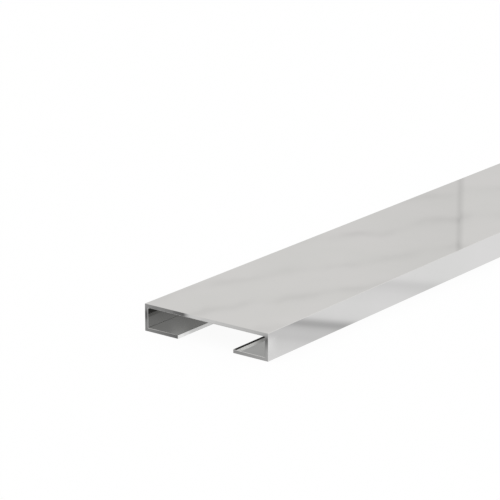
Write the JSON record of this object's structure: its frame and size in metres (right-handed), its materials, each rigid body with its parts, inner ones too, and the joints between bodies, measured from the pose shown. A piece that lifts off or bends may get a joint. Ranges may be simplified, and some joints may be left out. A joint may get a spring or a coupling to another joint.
{
  "type": "decorative wall trim strip",
  "caption": "Flat-faced strip of mirror-polished sheet folded into a shallow lipped C, to set between wall tiles as a decorative border.",
  "frame": {"origin": "middle of the footprint, level with the undersides of the lips", "axes": "+Z out of the polished face, +Y along the strip's length, +X across its width"},
  "size_m": [0.04, 2.5, 0.0075],
  "materials": {
    "polished_steel": "mirror-polished stainless steel sheet, bare, with plain sawn ends"
  },
  "bodies": {
    "root": {"trim_profile": "polished_steel"}
  },
  "joints": []
}
